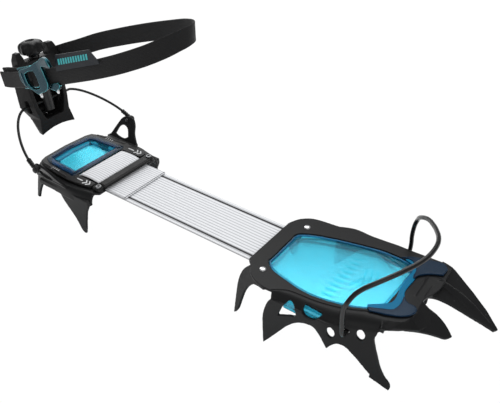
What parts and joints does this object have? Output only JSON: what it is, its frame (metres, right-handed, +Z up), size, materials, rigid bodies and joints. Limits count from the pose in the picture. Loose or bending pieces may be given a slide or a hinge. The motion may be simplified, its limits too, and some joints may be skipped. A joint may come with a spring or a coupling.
{
  "type": "hiking crampon",
  "caption": "Strap-on right-foot crampon: steel front and heel plates joined by a flat band, wire toe hoop, cable heel lever with screw adjuster, blue snow plates and ankle strap.",
  "frame": {"origin": "front edge of the rear cross member of the front plate, on its mid line, on the steel face that the boot sole stands on", "axes": "+X to the toe, +Y to the inner side of a right foot, +Z up out of the plate"},
  "size_m": [0.399, 0.1118, 0.1876],
  "materials": {
    "black_steel": "matte black powder coat with a soft sheen",
    "bright_steel": "bright rivet and screw heads",
    "blue_tpu": "translucent cyan flexible plastic",
    "black_nylon": "moulded black nylon",
    "white_band": "ribbed white woven band with dark edge threads",
    "black_webbing": "woven black webbing",
    "teal_alloy": "dark teal anodised",
    "black_wire": "semi-gloss black coated wire",
    "black_cable": "black coated steel cable"
  },
  "bodies": {
    "front_section": {"front_frame": "black_steel", "front_antisnow_plate": "blue_tpu", "band_clamp_plate": "black_steel", "band_rivet_left": "bright_steel", "band_rivet_right": "bright_steel", "band_front": "white_band"},
    "toe_bail": {"toe_wire": "black_wire", "toe_wire_stop_left": "bright_steel", "toe_wire_stop_right": "bright_steel"},
    "rear_band": {"band_rear": "white_band"},
    "heel_section": {"heel_frame": "black_steel", "heel_antisnow_tray": "blue_tpu", "heel_bezel": "black_nylon", "band_wrap": "white_band", "crossbar": "black_nylon", "crossbar_screw_left": "bright_steel", "crossbar_screw_right": "bright_steel", "cable_pin_left": "black_steel", "cable_pin_right": "black_steel"},
    "band_end": {"band_tail": "white_band", "band_tail_hem": "white_band"},
    "cable": {"heel_cable": "black_cable", "cable_eye_left": "black_wire", "cable_eye_right": "black_wire"},
    "barrel": {"barrel_nut": "black_steel"},
    "heel_lever": {"lever_shell": "black_nylon", "lever_rear_cover": "black_nylon", "cover_screw_lower": "black_steel", "cover_screw_upper": "black_steel", "strap_rivet_left": "bright_steel", "strap_rivet_right": "bright_steel"},
    "adjuster": {"adjuster_knob": "black_nylon", "adjuster_screw": "black_steel"},
    "strap": {"ankle_strap": "black_webbing", "strap_stub": "black_webbing", "strap_patch": "black_webbing", "buckle_base": "teal_alloy", "buckle_catch": "teal_alloy"},
    "strap_end": {"strap_tail": "black_webbing"},
    "hook": {"buckle_hook_ring": "teal_alloy"}
  },
  "joints": [
    {"name": "toe_wire_swing", "type": "hinge", "parent": "front_section", "child": "toe_bail", "pos_m": [0.0713, 0, -0.00892], "axis": [0, 1, 0], "range_deg": [-70, 35]},
    {"name": "band_flex", "type": "hinge", "parent": "front_section", "child": "rear_band", "pos_m": [-0.03956, 0, -0.00299], "axis": [0, -1, 0], "range_deg": [-75, 75]},
    {"name": "heel_length", "type": "slide", "parent": "rear_band", "child": "heel_section", "axis": [1, 0, 0], "range_m": [-0.008, 0.03]},
    {"name": "band_end_slide", "type": "slide", "parent": "heel_section", "child": "band_end", "axis": [1, 0, 0], "range_m": [-0.008, 0.03]},
    {"name": "cable_swing", "type": "hinge", "parent": "heel_section", "child": "cable", "pos_m": [-0.19458, 0, 0.01546], "axis": [0, -1, 0], "range_deg": [-35, 15]},
    {"name": "lever_swing", "type": "hinge", "parent": "cable", "child": "barrel", "pos_m": [-0.23725, 0, 0.04252], "axis": [0, 1, 0], "range_deg": [-100, 20]},
    {"name": "lever_height", "type": "slide", "parent": "barrel", "child": "heel_lever", "axis": [-0.15, 0, 0.9887], "range_m": [-0.004, 0.004]},
    {"name": "knob_turn", "type": "hinge", "parent": "heel_lever", "child": "adjuster", "pos_m": [-0.244, 0, 0.087], "axis": [-0.15, 0, 0.9887], "range_deg": [-720, 720]},
    {"name": "strap_swing", "type": "hinge", "parent": "heel_lever", "child": "strap", "pos_m": [-0.24089, 0, 0.07268], "axis": [0, -1, 0], "range_deg": [-30, 40]},
    {"name": "strap_end_slide", "type": "slide", "parent": "strap", "child": "strap_end", "axis": [-0.9562, 0.0759, -0.2828], "range_m": [0, 0.02]},
    {"name": "hook_swing", "type": "hinge", "parent": "strap", "child": "hook", "pos_m": [-0.2116, -0.03459, 0.0794], "axis": [0.3401, 0, -0.9404], "range_deg": [0, 60]}
  ],
  "couplings": [
    {"joint": "band_end_slide", "follows": "heel_length", "ratio": 1},
    {"joint": "lever_height", "follows": "knob_turn", "m_per_rad": 0.000318}
  ]
}
